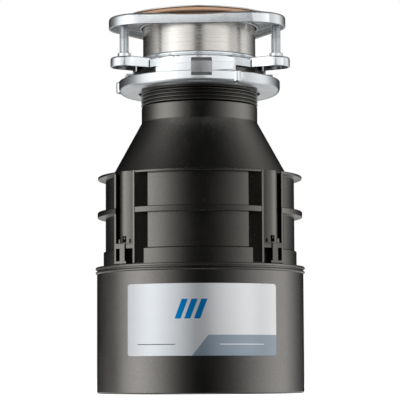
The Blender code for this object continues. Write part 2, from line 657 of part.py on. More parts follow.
def make_sink_flange(parent):
    top = OVERALL_HEIGHT
    outline = [(SLEEVE_BORE_RADIUS, 246.8), (SLEEVE_RADIUS, 246.8), (SLEEVE_RADIUS, 290.8),
               (45.0, 291.8), (FLANGE_RIM_RADIUS, 291.8), (FLANGE_RIM_RADIUS, top - 0.3),
               (FLANGE_RIM_RADIUS - 0.3, top), (44.8, top), (SLEEVE_BORE_RADIUS, 291.1)]
    add_piece("sink_flange", turned(outline), "stainless", parent)

    def section(angle):
        return [(44.4, 250.4), (46.8, 250.4), (46.8, 252.6), (44.4, 252.6)]

    split_ring = swept(section, spread(98.0, 442.0, 44), closed=False)
    add_piece("snap_ring", split_ring, "steel", parent)


def backup_reach(angle):
    """Outer radius of the backup flange, a triangle with large round corners."""
    offset = min(abs((angle - lobe + 180.0) % 360.0 - 180.0) for lobe in BACKUP_LOBE_ANGLES)
    corner_x = BACKUP_LOBE_CENTRE + BACKUP_LOBE_RADIUS * 0.5
    corner_y = BACKUP_LOBE_RADIUS * math.sin(math.radians(60.0))
    if offset > math.degrees(math.atan2(corner_y, corner_x)):
        side = BACKUP_LOBE_CENTRE * 0.5 + BACKUP_LOBE_RADIUS
        return side / math.cos(math.radians(60.0 - offset))
    across = BACKUP_LOBE_CENTRE * math.sin(math.radians(offset))
    along = BACKUP_LOBE_CENTRE * math.cos(math.radians(offset))
    return along + math.sqrt(BACKUP_LOBE_RADIUS ** 2 - across ** 2)


def make_clamp(parent):
    """Backup flange and fibre gasket, which the three screws push up against the sink."""
    low, high = BACKUP_Z

    def section(angle):
        reach = backup_reach(angle)
        wall = reach - SHEET_THICKNESS
        return [(45.2, 283.9), (46.6, 283.9), (47.0, high - 1.8), (wall - 0.5, high - 1.8),
                (wall, high - 2.4), (wall, low), (reach, low), (reach, high - 2.0),
                (reach - 0.6, high - 0.6), (reach - 2.0, high), (45.2, high)]

    angles = [BACKUP_LOBE_ANGLES[0] + 7.5 * step for step in range(48)]
    add_piece("backup_flange", swept(section, angles), "zinc", parent)
    gasket = tube(45.2, 56.4, high + GAP, 291.5, SEGMENTS)
    add_piece("fibre_gasket", gasket, "fibre", parent)


def make_mounting_screws(parent):
    outline = [(0.0, 250.2), (4.4, 250.2), (5.2, 251.0), (5.2, 253.0), (SCREW_RADIUS, 253.0),
               (SCREW_RADIUS, 284.8), (2.9, 285.8), (0.0, 285.8)]
    for number, angle in enumerate(EAR_ANGLES, 1):
        place = polar(SCREW_CIRCLE_RADIUS, angle)
        spindle = make_empty(f"mounting_screw_{number}_axis", parent, (*place, 0))
        screw = add_piece(f"mounting_screw_{number}", turned(outline, 14), "zinc", spindle)
        cut(screw, block((-6.0, -0.6, 249.0), (6.0, 0.6, 251.4)))


# ---------------------------------------------------------------- assembly

def build():
    clear_scene()
    housing = make_empty("housing")
    make_motor_can(housing)
    make_bottom_hardware(housing)
    make_lower_end_bell(housing)
    make_stator(housing)
    make_switch_and_protector(housing)
    make_through_bolts(housing)
    make_upper_end_bell(housing)
    make_container(housing)
    make_label(housing)
    make_cushion(housing)
    make_upper_ring(housing)
    make_sink_flange(housing)

    rotor = make_empty("rotor_axis", housing)
    make_rotor(rotor)
    make_turntable(rotor)
    make_switch_actuator(rotor)

    ring_axis = make_empty("lower_ring_axis", housing)
    make_lower_ring(ring_axis)

    clamp = make_empty("clamp_slide", housing)
    make_clamp(clamp)
    make_mounting_screws(clamp)


build()
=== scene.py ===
"""Looks of the kitchen garbage disposal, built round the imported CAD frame.

Sizes are millimetres and angles degrees about +Z, as in the CAD: the front is 270.
"""
import json
import math

import bmesh
import bpy
from mathutils import Matrix, Vector

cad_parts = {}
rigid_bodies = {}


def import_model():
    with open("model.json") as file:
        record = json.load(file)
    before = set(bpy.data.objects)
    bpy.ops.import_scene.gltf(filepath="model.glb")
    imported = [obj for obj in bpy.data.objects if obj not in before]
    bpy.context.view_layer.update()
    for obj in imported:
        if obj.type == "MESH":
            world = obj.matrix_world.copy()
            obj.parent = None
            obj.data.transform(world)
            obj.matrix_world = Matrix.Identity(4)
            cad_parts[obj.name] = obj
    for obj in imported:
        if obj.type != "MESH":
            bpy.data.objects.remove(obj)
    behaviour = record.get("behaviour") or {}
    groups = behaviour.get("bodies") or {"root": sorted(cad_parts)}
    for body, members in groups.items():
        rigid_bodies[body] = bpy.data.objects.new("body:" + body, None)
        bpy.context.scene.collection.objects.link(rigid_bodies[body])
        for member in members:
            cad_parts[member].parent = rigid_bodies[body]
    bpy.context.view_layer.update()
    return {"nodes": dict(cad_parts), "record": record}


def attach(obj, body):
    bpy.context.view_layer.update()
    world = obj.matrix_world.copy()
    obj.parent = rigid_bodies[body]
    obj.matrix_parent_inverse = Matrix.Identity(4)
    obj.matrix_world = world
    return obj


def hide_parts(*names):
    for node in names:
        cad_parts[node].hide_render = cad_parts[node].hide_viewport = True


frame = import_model()

MM = 0.001
ROUND = 192          # facets round a large turned piece
SMALL = 48           # facets round a small one
FRONT = 270.0


# ---------------------------------------------------------------- mesh helpers

def finish_mesh(name, bm, sharp=35.0):
    """Turn a bmesh in millimetres into a smooth-shaded object in metres."""
    bmesh.ops.recalc_face_normals(bm, faces=bm.faces)
    bmesh.ops.scale(bm, vec=(MM, MM, MM), verts=bm.verts)
    mesh = bpy.data.meshes.new(name)
    bm.to_mesh(mesh)
    bm.free()
    mesh.shade_smooth()
    mesh.set_sharp_from_angle(angle=math.radians(sharp))
    obj = bpy.data.objects.new(name, mesh)
    bpy.context.scene.collection.objects.link(obj)
    return obj


def rounded(points, steps=4):
    """An (r, z) outline whose third number, where there is one, rounds that corner."""
    out = []
    for i, point in enumerate(points):
        if len(point) < 3:
            out.append(tuple(point))
            continue
        before = Vector(points[i - 1][:2])
        here = Vector(point[:2])
        after = Vector(points[(i + 1) % len(points)][:2])
        u, v = (before - here), (after - here)
        half = u.angle(v) / 2
        reach = min(point[2] / math.tan(half), u.length * 0.49, v.length * 0.49)
        radius = reach * math.tan(half)
        u.normalize()
        v.normalize()
        centre = here + (u + v).normalized() * (radius / math.sin(half))
        start = here + u * reach - centre
        end = here + v * reach - centre
        turn = start.angle_signed(end)
        for step in range(steps + 1):
            spin = Matrix.Rotation(-turn * step / steps, 2)
            out.append(tuple(centre + spin @ start))
    return out


def turned(outline, segments=ROUND):
    """Spin an (r, z) outline about Z; one that starts and ends at r = 0 is solid."""
    bm = bmesh.new()
    rings = []
    for r, z in outline:
        if r < 1e-6:
            rings.append([bm.verts.new((0.0, 0.0, z))])
        else:
            rings.append([bm.verts.new((r * math.cos(math.tau * k / segments),
                                        r * math.sin(math.tau * k / segments), z))
                          for k in range(segments)])
    pairs = list(zip(rings, rings[1:]))
    if len(rings[0]) > 1:
        pairs.append((rings[-1], rings[0]))
    for low, high in pairs:
        for k in range(segments):
            m = (k + 1) % segments
            if len(low) == 1 and len(high) == 1:
                continue
            if len(low) == 1:
                bm.faces.new((low[0], high[m], high[k]))
            elif len(high) == 1:
                bm.faces.new((low[k], low[m], high[0]))
            else:
                bm.faces.new((low[k], low[m], high[m], high[k]))
    return bm


def swept(section, angles, closed=True):
    """Join the (r, z) outlines that section(angle) gives at each angle."""
    bm = bmesh.new()
    loops = []
    for angle in angles:
        cos, sin = math.cos(math.radians(angle)), math.sin(math.radians(angle))
        loops.append([bm.verts.new((r * cos, r * sin, z)) for r, z in section(angle)])
    pairs = list(zip(loops, loops[1:]))
    if closed:
        pairs.append((loops[-1], loops[0]))
    for here, there in pairs:
        for i in range(len(here)):
            j = (i + 1) % len(here)
            bm.faces.new((here[i], here[j], there[j], there[i]))
    if not closed:
        bm.faces.new(loops[0])
        bm.faces.new(list(reversed(loops[-1])))
    return bm


def prism(points, low_z, high_z):
    bm = bmesh.new()
    face = bm.faces.new([bm.verts.new((x, y, low_z)) for x, y in points])
    grown = bmesh.ops.extrude_face_region(bm, geom=[face])
    verts = [item for item in grown["geom"] if isinstance(item, bmesh.types.BMVert)]
    bmesh.ops.translate(bm, vec=(0, 0, high_z - low_z), verts=verts)
    bmesh.ops.recalc_face_normals(bm, faces=bm.faces)
    return bm


def cylinder(radius, low_z, high_z, x=0.0, y=0.0, segments=SMALL):
    bm = bmesh.new()
    bmesh.ops.create_cone(bm, cap_ends=True, segments=segments, radius1=radius, radius2=radius,
                          depth=high_z - low_z, matrix=Matrix.Rotation(math.radians(3.1), 4, "Z"))
    bmesh.ops.translate(bm, vec=(x, y, (low_z + high_z) / 2), verts=bm.verts)
    return bm


def block(low, high, turn=0.0):
    bm = prism([(low[0], low[1]), (high[0], low[1]), (high[0], high[1]), (low[0], high[1])],
               low[2], high[2])
    bmesh.ops.rotate(bm, cent=(0, 0, 0), matrix=Matrix.Rotation(math.radians(turn), 3, "Z"),
                     verts=bm.verts)
    return bm


def moved(bm, x=0.0, y=0.0, z=0.0):
    bmesh.ops.translate(bm, vec=(x, y, z), verts=bm.verts)
    return bm


def laid_along_y(bm, x, z):
    bmesh.ops.rotate(bm, cent=(0, 0, 0), matrix=Matrix.Rotation(math.radians(-90), 3, "X"),
                     verts=bm.verts)
    return moved(bm, x, 0, z)


def combined(obj, steps, sharp=35.0):
    """Apply Boolean steps, ("cut" or "unite", bmesh), one after another, to obj's mesh."""
    tools = []
    for number, (how, bm) in enumerate(steps):
        tool = finish_mesh(f"{obj.name}_tool_{number}", bm)
        modifier = obj.modifiers.new(f"step_{number}", "BOOLEAN")
        modifier.operation = "DIFFERENCE" if how == "cut" else "UNION"
        modifier.solver = "EXACT"
        modifier.object = tool
        tools.append(tool)
    bpy.context.view_layer.update()
    graph = bpy.context.evaluated_depsgraph_get()
    mesh = bpy.data.meshes.new_from_object(obj.evaluated_get(graph))
    obj.modifiers.clear()
    old, obj.data = obj.data, mesh
    bpy.data.meshes.remove(old)
    for tool in tools:
        bpy.data.objects.remove(tool)
    mesh.shade_smooth()
    mesh.set_sharp_from_angle(angle=math.radians(sharp))
    return obj


def softened(obj, width, segments=2, angle=35.0):
    """Round the edges of obj by width millimetres."""
    modifier = obj.modifiers.new("soft_edges", "BEVEL")
    modifier.width = width * MM
    modifier.segments = segments
    modifier.limit_method = "ANGLE"
    modifier.angle_limit = math.radians(angle)
    modifier.use_clamp_overlap = True
    modifier.harden_normals = True
    return obj


def arc(radius, start, end, steps, centre=(0.0, 0.0)):
    return [(centre[0] + radius * math.cos(math.radians(start + (end - start) * i / steps)),
             centre[1] + radius * math.sin(math.radians(start + (end - start) * i / steps)))
            for i in range(steps + 1)]


def spread(start, end, steps):
    return [start + (end - start) * i / steps for i in range(steps + 1)]


def polar(radius, angle):
    return radius * math.cos(math.radians(angle)), radius * math.sin(math.radians(angle))


# ---------------------------------------------------------------- materials

MIX_A, MIX_B, MIX_RESULT = 6, 7, 2      # the colour sockets of a Mix node


def times(colour, factor):
    return tuple(min(1.0, c * factor) for c in colour)


def plug(links, socket, value):
    """Link the socket to value where that is a socket too, and otherwise set it."""
    if isinstance(value, bpy.types.NodeSocket):
        links.new(value, socket)
    else:
        socket.default_value = value


class Look:
    """A Principled material whose colour, roughness and bump vary with object coordinates."""

    def __init__(self, name, colour, metallic, roughness, **sockets):
        self.material = bpy.data.materials.new(name)
        self.material.use_nodes = True
        self.nodes = self.material.node_tree.nodes
        self.links = self.material.node_tree.links
        self.shader = self.nodes["Principled BSDF"]
        self.shader.inputs["Base Color"].default_value = (*colour, 1.0)
        self.shader.inputs["Metallic"].default_value = metallic
        self.shader.inputs["Roughness"].default_value = roughness
        for key, value in sockets.items():
            self.shader.inputs[key.replace("_", " ")].default_value = value
        self.colour = colour
        self.roughness = roughness
        self.place = self.nodes.new("ShaderNodeTexCoord").outputs["Object"]
        self.tint = None

    def node(self, kind, **inputs):
        """A new node whose named inputs are set, or linked where the value is a socket."""
        made = self.nodes.new(kind)
        for key, value in inputs.items():
            plug(self.links, made.inputs[key], value)
        return made

    def calc(self, kind, one, two):
        """The result of a Math node on two numbers or sockets."""
        made = self.nodes.new("ShaderNodeMath")
        made.operation = kind
        for socket, value in zip(made.inputs, (one, two)):
            plug(self.links, socket, value)
        return made.outputs[0]

    def noise(self, scale, stretch=(1.0, 1.0, 1.0), detail=3.0, rough=0.55):
        place = self.node("ShaderNodeMapping", Vector=self.place, Scale=stretch).outputs[0]
        return self.node("ShaderNodeTexNoise", Vector=place, Scale=scale, Detail=detail,
                         Roughness=rough).outputs["Fac"]

    def spread_to(self, value, low, high, begin=0.3, end=0.7):
        """Map begin..end of value onto low..high."""
        made = self.nodes.new("ShaderNodeMapRange")
        self.links.new(value, made.inputs["Value"])
        numbers = {"From Min": begin, "From Max": end, "To Min": low, "To Max": high}
        for key, number in numbers.items():
            made.inputs[key].default_value = number
        return made.outputs["Result"]

    def blend(self, factor, one, two):
        """A colour mix; each argument is a socket, or else a number or a colour."""
        made = self.nodes.new("ShaderNodeMix")
        made.data_type = "RGBA"
        sockets = made.inputs["Factor"], made.inputs[MIX_A], made.inputs[MIX_B]
        for socket, value in zip(sockets, (factor, one, two)):
            if isinstance(value, bpy.types.NodeSocket):
                self.links.new(value, socket)
            elif isinstance(value, float):
                socket.default_value = value
            else:
                socket.default_value = (*value, 1.0)
        return made.outputs[MIX_RESULT]

    def vary_colour(self, factor, other):
        """Blend the colour so far towards another one where factor is 1."""
        self.tint = self.blend(factor, self.tint or self.colour, other)
        self.links.new(self.tint, self.shader.inputs["Base Color"])
        return self

    def vary_roughness(self, value, amount):
        self.links.new(self.spread_to(value, self.roughness - amount, self.roughness + amount),
                       self.shader.inputs["Roughness"])
        return self

    def bump(self, value, height_mm, strength=1.0):
        """Add relief of height_mm on top of any relief that is there."""
        made = self.nodes.new("ShaderNodeBump")
        made.inputs["Strength"].default_value = strength
        made.inputs["Distance"].default_value = height_mm * MM
        self.links.new(value, made.inputs["Height"])
        before = self.shader.inputs["Normal"]
        if before.is_linked:
            self.links.new(before.links[0].from_socket, made.inputs["Normal"])
        self.links.new(made.outputs["Normal"], before)
        return self


def paint_look(name, colour, roughness, metallic=0.7):
    """Satin dark paint or moulding with a fine fleck."""
    look = Look(name, colour, metallic, roughness, Specular_IOR_Level=0.5)
    fleck = look.noise(2600.0, detail=1.0)
    patches = look.noise(45.0, (1, 1, 0.4))
    look.vary_colour(look.spread_to(patches, 0.0, 0.35), times(colour, 1.25))
    look.vary_colour(look.spread_to(fleck, 0.0, 0.5, 0.58, 0.72), times(colour, 2.2))
    look.vary_roughness(look.noise(60.0, (1, 1, 0.5)), 0.03)
    look.bump(look.noise(900.0, detail=2.0), 0.012, 0.35)
    return look.material


# faces that point down above this height, in mm, get painted shade on the zinc
UNDERSIDE_SHADE_FROM_Z = (270.0, 272.0)


def plated_look(name, colour, shade, roughness, metallic=1.0, underside_shade=None):
    """Clouded plate with fine scratches; the colour given last, if any, is painted shade on faces that
    point down above about 270 mm.
    """
    look = Look(name, colour, metallic, roughness)
    scratches = look.noise(380.0, (1, 1, 0.25), 5.0)
    look.vary_colour(look.spread_to(look.noise(70.0, detail=4.0), 0.0, 0.7), shade)
    look.vary_colour(look.spread_to(scratches, 0.0, 0.35, 0.5, 0.75), shade)
    # painted shade: darken faces that point down above that height, where the parts around would shade
    # them
    if underside_shade:
        normal = look.nodes["Texture Coordinate"].outputs["Normal"]
        facing = look.node("ShaderNodeSeparateXYZ", Vector=normal).outputs["Z"]
        under = look.spread_to(facing, 1.0, 0.0, -0.9, -0.6)
        height = look.node("ShaderNodeSeparateXYZ", Vector=look.place).outputs["Z"]
        low, high = UNDERSIDE_SHADE_FROM_Z
        aloft = look.spread_to(height, 0.0, 1.0, low * MM, high * MM)
        look.vary_colour(look.calc("MULTIPLY", under, aloft), underside_shade)
    look.vary_roughness(look.noise(120.0, detail=4.0), 0.05)
    look.bump(look.noise(300.0, (1, 1, 0.3)), 0.006, 0.25)
    return look.material


def brushed_look(name, colour, roughness, along=(6.0, 6.0, 900.0), metallic=1.0, depth=0.008):
    """Metal with fine lines running round the axis, or as along says."""
    look = Look(name, colour, metallic, roughness)
    grain = look.noise(1.0, along, 4.0, 0.6)
    look.vary_colour(look.spread_to(grain, 0.0, 0.5, 0.45, 0.75), times(colour, 0.8))
    look.vary_colour(look.spread_to(look.noise(35.0), 0.0, 0.3), times(colour, 0.9))
    look.vary_roughness(grain, 0.05)
    look.bump(grain, depth, 0.6)
    return look.material


def rubber_look(name, colour, roughness):
    look = Look(name, colour, 0.0, roughness, Specular_IOR_Level=0.6)
    look.vary_colour(look.spread_to(look.noise(90.0), 0.0, 0.6), times(colour, 1.7))
    look.vary_roughness(look.noise(160.0), 0.06)
    look.bump(look.noise(1500.0, detail=2.0), 0.02, 0.3)
    return look.material


def fibre_look(name, colour, dark):
    look = Look(name, colour, 0.0, 0.62, Specular_IOR_Level=0.3)
    strands = look.noise(300.0, (1, 1, 6.0), 6.0, 0.7)
    look.vary_colour(look.spread_to(strands, 0.0, 0.8), dark)
    look.vary_colour(look.spread_to(look.noise(60.0), 0.0, 0.4), times(colour, 1.25))
    look.bump(strands, 0.08, 0.5)
    return look.material


def winding_look(name, colour):
    look = Look(name, colour, 0.9, 0.28)
    wave = look.nodes.new("ShaderNodeTexWave")
    wave.wave_type, wave.bands_direction = "RINGS", "Z"
    look.links.new(look.place, wave.inputs["Vector"])
    wave.inputs["Scale"].default_value = 330.0
    wave.inputs["Distortion"].default_value = 1.2
    look.vary_colour(look.spread_to(wave.outputs["Fac"], 0.7, 0.0, 0.1, 0.6), times(colour, 0.3))
    look.vary_colour(look.spread_to(look.noise(50.0), 0.0, 0.4), times(colour, 0.6))
    look.bump(wave.outputs["Fac"], 0.3, 0.8)
    return look.material


def lamination_look(name, colour):
    look = Look(name, colour, 0.9, 0.5)
    sheets = look.nodes.new("ShaderNodeTexWave")
    sheets.bands_direction = "Z"
    look.links.new(look.place, sheets.inputs["Vector"])
    sheets.inputs["Scale"].default_value = 320.0
    gaps = look.spread_to(sheets.outputs["Fac"], 0.6, 0.0, 0.0, 0.3)
    look.vary_colour(gaps, times(colour, 0.35))
    look.vary_colour(look.spread_to(look.noise(80.0), 0.0, 0.35), (0.30, 0.16, 0.09))
    look.bump(sheets.outputs["Fac"], 0.1, 0.6)
    return look.material


LABEL_Z = (28.3, 81.5)
LABEL_ANGLES = (229.2, 315.5)
LABEL_RADIUS = 80.75
# the second slate is a lighter copy of the slate, used for the painted highlight
LABEL_SLATE, LABEL_SLATE_HIGHLIT = (0.24, 0.305, 0.37), (0.42, 0.48, 0.54)
LABEL_BLUE = (0.0, 0.19, 0.50)
LABEL_INK, LABEL_PALE = (0.05, 0.07, 0.10), (0.90, 0.93, 0.95)


def label_look():
    """Brushed foil with a printed slate panel, a blue emblem of slanted bars and two rules; a painted
    highlight lightens foil and slate towards the right.
    """
    look = Look("label_foil", (0.62, 0.645, 0.67), 0.94, 0.38)
    grain = look.noise(1.0, (25.0, 25.0, 2200.0), 4.0, 0.6)
    look.vary_colour(look.spread_to(grain, 0.0, 0.4, 0.45, 0.75), (0.55, 0.575, 0.60))
    parts = look.node("ShaderNodeSeparateXYZ", Vector=look.place)
    calc = look.calc

    # position along the label, in millimetres from the front's centre line, and height
    back = calc("MULTIPLY", parts.outputs["Y"], -1.0)
    along = calc("MULTIPLY", calc("ARCTAN2", parts.outputs["X"], back), LABEL_RADIUS)
    height = calc("MULTIPLY", parts.outputs["Z"], 1000.0)

    def area(low_s, high_s, low_z, high_z, slant=0.0):
        """1 inside a bar whose sides lean by slant millimetres per millimetre of height."""
        leaning = calc("SUBTRACT", along, calc("MULTIPLY", calc("SUBTRACT", height, low_z), slant))
        inside = calc("MULTIPLY", calc("GREATER_THAN", leaning, low_s),
                      calc("LESS_THAN", leaning, high_s))
        level = calc("MULTIPLY", calc("GREATER_THAN", height, low_z),
                     calc("LESS_THAN", height, high_z))
        return calc("MULTIPLY", inside, level)

    # painted highlight: the foil is lightened towards white to the right of the front, a painted
    # reflection of the light on that side
    painted_highlight = look.spread_to(along, 0.0, 0.75, -10.0, 60.0)
    look.vary_colour(painted_highlight, (1.0, 1.0, 1.0))

    # the slate panel runs off the right end, and its left side slopes
    foot = LABEL_Z[0]
    panel = area(-4.8, 90.0, 20.0, 43.6, 0.0)
    leaning = calc("SUBTRACT", along, calc("MULTIPLY", calc("SUBTRACT", height, foot), 0.80))
    panel = calc("MULTIPLY", panel, calc("GREATER_THAN", leaning, -4.6))
    # the slate is painted lighter towards the right by the same painted highlight
    look.vary_colour(panel, look.blend(painted_highlight, LABEL_SLATE, LABEL_SLATE_HIGHLIT))
    for number in range(3):
        start = -17.5 + number * 7.2
        look.vary_colour(area(start, start + 4.6, 55.5, 70.0, 0.38), LABEL_BLUE)
    look.vary_colour(area(-48.0, -17.0, 36.4, 36.95), LABEL_INK)
    look.vary_colour(area(16.0, 52.0, 36.4, 36.95), LABEL_PALE)
    look.bump(grain, 0.006, 0.5)
    return look.material


DARK = (0.262, 0.252, 0.240)
LOOKS = {
    "can_paint": paint_look("can_paint", DARK, 0.26, 0.99),
    "container_plastic": paint_look("container_plastic", (0.235, 0.228, 0.212), 0.27, 0.99),
    "bell_paint": paint_look("bell_paint", (0.26, 0.25, 0.235), 0.28, 0.98),
    # the zinc's last colour is painted shade for its downward faces high up
    "zinc": plated_look("zinc", (0.84, 0.87, 0.89), (0.75, 0.785, 0.81), 0.20, 0.90,
                        underside_shade=(0.40, 0.42, 0.44)),
    "stainless": brushed_look("stainless", (0.73, 0.705, 0.67), 0.27, metallic=0.98, depth=0.002),
    "steel": brushed_look("steel", (0.42, 0.43, 0.435), 0.30, (300.0, 300.0, 1500.0), 0.86),
    "lamination": lamination_look("lamination", (0.33, 0.33, 0.34)),
    "copper_wire": winding_look("copper_wire", (0.62, 0.26, 0.11)),
    "cast_aluminium": plated_look("cast_aluminium", (0.66, 0.66, 0.67), (0.45, 0.45, 0.46), 0.48),
    "bronze": brushed_look("bronze", (0.56, 0.38, 0.17), 0.38, (200.0, 200.0, 900.0)),
    "rubber": paint_look("rubber", (0.16, 0.156, 0.145), 0.30, 0.95),
    "fibre": fibre_look("fibre", (0.56, 0.35, 0.23), (0.42, 0.25, 0.16)),
    "moulding": rubber_look("moulding", (0.03, 0.03, 0.034), 0.35),
    "red_plastic": rubber_look("red_plastic", (0.50, 0.02, 0.015), 0.3),
    "green_screw": plated_look("green_screw", (0.05, 0.30, 0.09), (0.03, 0.2, 0.06), 0.3, 0.8),
    "label_foil": label_look(),
}


def dress(obj, slot, body, *nodes):
    """Give a new piece its finish and body, and hide the CAD nodes that it stands for."""
    obj.data.materials.clear()
    obj.data.materials.append(LOOKS[slot])
    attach(obj, body)
    if nodes:
        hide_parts(*nodes)
    return obj


# ---------------------------------------------------------------- motor can

BOLT_X, BOLT_Y = 57.6, 47.4
BOLTS = [(-BOLT_X, -BOLT_Y), (BOLT_X, -BOLT_Y), (BOLT_X, BOLT_Y), (-BOLT_X, BOLT_Y)]


def make_can():
    outline = rounded([(12.0, 4.0), (70.5, 4.0, 1.2), (72.5, 0.0, 1.2), (78.9, 0.0, 0.8),
                       (80.0, 1.1, 0.9), (80.0, 91.7, 0.3), (81.1, 92.2, 0.5), (81.1, 93.3, 0.5),
                       (80.0, 93.5, 0.2), (79.8, 93.9), (78.9, 93.9), (78.9, 5.5), (12.0, 5.5)])
    can = finish_mesh("motor_can_shell", turned(outline))
    x, y = 34.0, 26.0                           # the terminal cover
    steps = [("cut", cylinder(11.1, 0.0, 8.0, 40.0, -24.0)),
             ("cut", cylinder(4.3, 0.0, 8.0, -45.0, 22.0)),
             ("cut", cylinder(2.3, 0.0, 8.0, 14.0, -36.0)),
             ("cut", block((x - 17, y - 10, 0.0), (x + 11, y + 10, 8.0))),
             ("cut", cylinder(1.9, 0.0, 8.0, x + 16, y))]
    dress(combined(can, steps), "can_paint", "housing", "motor_can")


def make_bell():
    outline = rounded([(10.4, 82.0), (17.0, 82.0), (17.0, 93.0), (68.0, 93.0), (70.2, 86.0),
                       (78.5, 86.0), (78.5, 94.2), (79.8, 94.2), (79.8, 94.9, 0.2),
                       (81.1, 95.0, 0.5), (81.1, 97.0, 0.8), (24.0, 97.0), (17.5, 99.0, 1.0),
                       (17.5, 112.0, 0.6), (14.0, 112.0), (14.0, 104.5), (10.4, 104.5)])
    bell = finish_mesh("upper_end_bell_casting", turned(outline))
    steps = [("cut", cylinder(2.8, 84.0, 99.0, x, y)) for x, y in BOLTS]
    dress(combined(bell, steps), "bell_paint", "housing", "upper_end_bell")


def make_bolts():
    outline = rounded([(0.0, 7.0), (2.3, 7.0), (2.3, 113.0), (3.2, 113.0), (3.2, 116.0, 0.5),
                       (0.0, 116.5)])
    for number, (x, y) in enumerate(BOLTS, 1):
        bolt = finish_mesh(f"tie_bolt_{number}", moved(turned(outline, SMALL), x, y))
        dress(bolt, "bell_paint", "housing", f"through_bolt_{number}")


# ---------------------------------------------------------------- container

OUTLET_Z = 124.0
SPIGOT_Z = 190.0


def in_quarter(points, x_sign, y_sign):
    return [(x_sign * x, y_sign * y) for x, y in points]


def make_container():
    body = rounded([(70.3, 97.3), (74.9, 97.3), (74.9, 108.6, 0.5), (73.3, 109.4),
                    (73.3, 135.3, 0.3), (79.5, 135.3, 0.4), (79.5, 139.8, 0.8), (73.3, 139.8, 0.5),
                    (73.3, 164.9, 0.3), (79.2, 165.2, 0.3), (79.5, 167.2, 0.9), (68.5, 167.2, 0.6),
                    (45.2, 209.6, 2.0), (45.2, 222.0, 0.7), (42.4, 222.0), (42.4, 208.8),
                    (66.0, 165.6), (70.3, 163.0)])
    container = finish_mesh("container_moulding", turned(body))

    # one bolt column in the +X +Y quarter, between two plates that stand at low_x and high_x
    low_x, high_x = 48.95, 62.45
    skin, flat_y, plate = 71.9, 62.9, 1.3
    inner = [(37.1, flat_y), (low_x - plate, flat_y), (low_x - plate, flat_y + 1.1),
             (low_x, flat_y + 0.2), (low_x, 51.9)] + arc(skin, 49.3, 59.4, 6)
    outer = [(high_x, 34.7), (high_x, 47.6), (high_x + 1.2, 46.7), (high_x + 1.2, 33.0)]
    half_round = (arc(30.9, 72.0, 60.0, 10, (39.05, 32.12))
                  + arc(9.5, 60.0, 5.0, 20, (49.75, 50.64))[1:]
                  + [(59.2, 41.0), (50.6, 50.3), (48.6, 52.4)])
    boss_post = [(55.6, 54.0), (59.3, 51.7), (59.5, 45.8), (55.0, 46.0)]
    boss_foot = [(54.4, 55.8), (62.4, 50.8), (62.4, 45.0), (54.4, 46.0)]
    shelf = [(low_x - 0.6, 51.9), (low_x - 0.6, 56.8), (high_x + 0.5, 48.6), (high_x + 0.5, 33.9)]
    bay = [(low_x - 0.3, 75.0), (high_x + 0.3, 75.0)] + arc(71.6, 29.12, 47.2, 6)
    window = [(53.9, 50.1), (57.0, 50.1), (57.0, 62.0), (53.9, 62.0)]
    notch = [(50.4, 50.1), (51.6, 50.1), (51.6, 64.0), (50.4, 64.0)]

    boss = finish_mesh("boss", laid_along_y(cylinder(23.0, 60.0, 79.0), 0.0, OUTLET_Z))
    combined(boss, [("cut", cylinder(71.3, 94.0, 154.0, segments=120))])
    boss_bm = bmesh.new()
    boss_bm.from_mesh(boss.data)
    bmesh.ops.scale(boss_bm, vec=(1 / MM, 1 / MM, 1 / MM), verts=boss_bm.verts)
    bpy.data.objects.remove(boss)
    bar = [(35.0, 78.8), (-35.0, 78.8)] + arc(72.4, 118.9, 61.1, 16)
    spigot = rounded([(6.8, 54.0), (9.5, 54.0), (9.5, 72.0), (10.5, 72.7, 0.6), (10.5, 74.0, 0.6),
                      (9.5, 74.7), (9.5, 76.0, 0.4), (6.8, 76.0)])
    steps = [("unite", boss_bm), ("unite", prism(bar, 116.0, 132.0)),
             ("cut", laid_along_y(cylinder(18.5, 50.0, 85.0), 0.0, OUTLET_Z))]
    steps += [("cut", laid_along_y(cylinder(2.0, 69.0, 85.0, segments=20), x, OUTLET_Z))
              for x in (-29.0, 29.0)]
    steps += [("unite", laid_along_y(turned(spigot, SMALL), 0.0, SPIGOT_Z)),
              ("cut", laid_along_y(cylinder(6.6, 40.0, 64.0), 0.0, SPIGOT_Z))]
    for x_sign, y_sign in ((-1, -1), (1, -1), (1, 1), (-1, 1)):
        x, y = x_sign * BOLT_X, y_sign * BOLT_Y

        def post(points, low_z, high_z):
            return prism(in_quarter(points, x_sign, y_sign), low_z, high_z)

        steps += [("cut", post(bay, 96.0, 168.5)),
                  ("unite", post(inner, 97.6, 166.9)),
                  ("unite", post(outer, 97.6, 166.9)),
                  ("unite", post(half_round, 112.5, 166.7)),
                  ("unite", post(shelf, 109.0, 112.6)),
                  ("unite", post(boss_post, 97.7, 112.9)),
                  ("unite", post(boss_foot, 97.6, 99.3)),
                  ("cut", cylinder(3.6, 112.6, 118.0, x, y, 24)),
                  ("cut", cylinder(2.65, 95.0, 116.0, x, y, 24)),
                  ("cut", post(window, 112.9, 118.0)),
                  ("cut", post(notch, 112.7, 115.6))]
    combined(container, steps, 30.0)
    softened(container, 0.28, 2, 40.0)
    dress(container, "container_plastic", "housing", "container_body")


# ---------------------------------------------------------------- label

def make_label():
    radius = 2.2
    first, last = LABEL_ANGLES
    per_mm = math.degrees(1.0 / LABEL_RADIUS)
    ends = [radius * (1 - math.cos(math.radians(a))) for a in range(0, 91, 10)]
    angles = [first + d * per_mm for d in ends]
    angles += spread(angles[-1], last - radius * per_mm, 90)[1:-1]
    angles += [last - d * per_mm for d in reversed(ends)]

    def inset(angle):
        d = min(angle - first, last - angle) / per_mm
        return 0.0 if d >= radius else radius - math.sqrt(max(0.0, radius ** 2 - (radius - d) ** 2))

    def section(angle):
        low, high = LABEL_Z[0] + inset(angle), LABEL_Z[1] - inset(angle)
        face = [(LABEL_RADIUS, low + (high - low) * k / 10) for k in range(11)]
        return [(80.3, low)] + face + [(80.3, high)]

    plate = finish_mesh("label_foil_plate", swept(section, angles, closed=False))
    dress(plate, "label_foil", "housing", "label_plate")


# ---------------------------------------------------------------- sink mount

